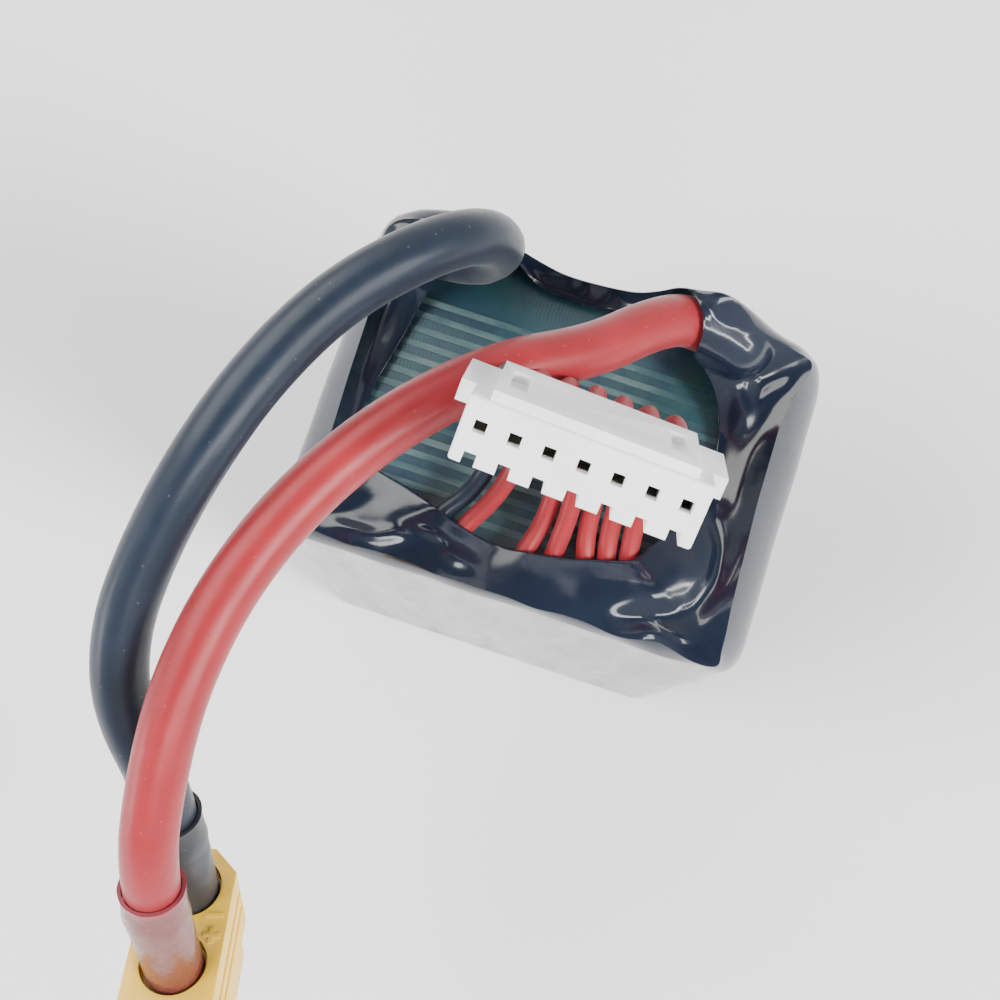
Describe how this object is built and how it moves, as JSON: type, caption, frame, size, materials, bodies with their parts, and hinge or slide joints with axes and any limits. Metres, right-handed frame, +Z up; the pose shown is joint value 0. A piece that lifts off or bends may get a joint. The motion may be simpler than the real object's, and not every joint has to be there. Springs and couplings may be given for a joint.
{
  "type": "lipo battery pack",
  "caption": "Lithium-polymer flight pack in black shrink film, with thick power leads to a bullet plug and thin balance wires to a white in-line plug.",
  "frame": {"origin": "middle of the pack's plain end, on the surface that the pack stands on", "axes": "+Z up the pack to the end that the leads leave, +X across the stack of cells, +Y to the wall beside which the power leads come out"},
  "size_m": [0.051, 0.0808, 0.0903],
  "materials": {
    "film": "glossy shrunk film",
    "pad": "matt foam",
    "pouch": "satin foil",
    "tape": "double-sided tape",
    "aluminium_tab": "satin",
    "nickel_tab": "satin",
    "insulation": "pressed board",
    "board": "solder mask",
    "tracks": "solder mask over copper",
    "solder": "bright",
    "red_wire": "satin silicone",
    "black_wire": "satin silicone",
    "plug_nylon": "moulded nylon",
    "gold": "gold plated",
    "red_sleeve": "shrunk tube",
    "black_sleeve": "shrunk tube",
    "white_nylon": "moulded nylon",
    "tin": "tinned"
  },
  "bodies": {
    "root": {"shrink_wrap": "film", "end_pad": "pad", "insulation_sheet": "insulation", "end_board": "board", "board_tracks": "tracks", "cell_1": "pouch", "cell_1_plus_tab": "aluminium_tab", "cell_1_minus_tab": "nickel_tab", "cell_2": "pouch", "cell_2_plus_tab": "aluminium_tab", "cell_2_minus_tab": "nickel_tab", "cell_3": "pouch", "cell_3_plus_tab": "aluminium_tab", "cell_3_minus_tab": "nickel_tab", "cell_4": "pouch", "cell_4_plus_tab": "aluminium_tab", "cell_4_minus_tab": "nickel_tab", "cell_5": "pouch", "cell_5_plus_tab": "aluminium_tab", "cell_5_minus_tab": "nickel_tab", "cell_6": "pouch", "cell_6_plus_tab": "aluminium_tab", "cell_6_minus_tab": "nickel_tab", "cell_tape_1": "tape", "cell_tape_2": "tape", "cell_tape_3": "tape", "cell_tape_4": "tape", "cell_tape_5": "tape", "positive_lead_joint": "solder", "positive_lead": "red_wire", "positive_socket": "gold", "positive_conductor_end": "tin", "positive_cup_solder": "solder", "positive_cup_sleeve": "red_sleeve", "negative_lead_joint": "solder", "negative_lead": "black_wire", "negative_socket": "gold", "negative_conductor_end": "tin", "negative_cup_solder": "solder", "negative_cup_sleeve": "black_sleeve", "power_plug_housing": "plug_nylon", "balance_housing": "white_nylon", "balance_solder_joints": "solder", "balance_contact_1": "tin", "balance_wire_1": "black_wire", "balance_contact_2": "tin", "balance_wire_2": "red_wire", "balance_contact_3": "tin", "balance_wire_3": "red_wire", "balance_contact_4": "tin", "balance_wire_4": "red_wire", "balance_contact_5": "tin", "balance_wire_5": "red_wire", "balance_contact_6": "tin", "balance_wire_6": "red_wire", "balance_contact_7": "tin", "balance_wire_7": "red_wire"}
  },
  "joints": []
}
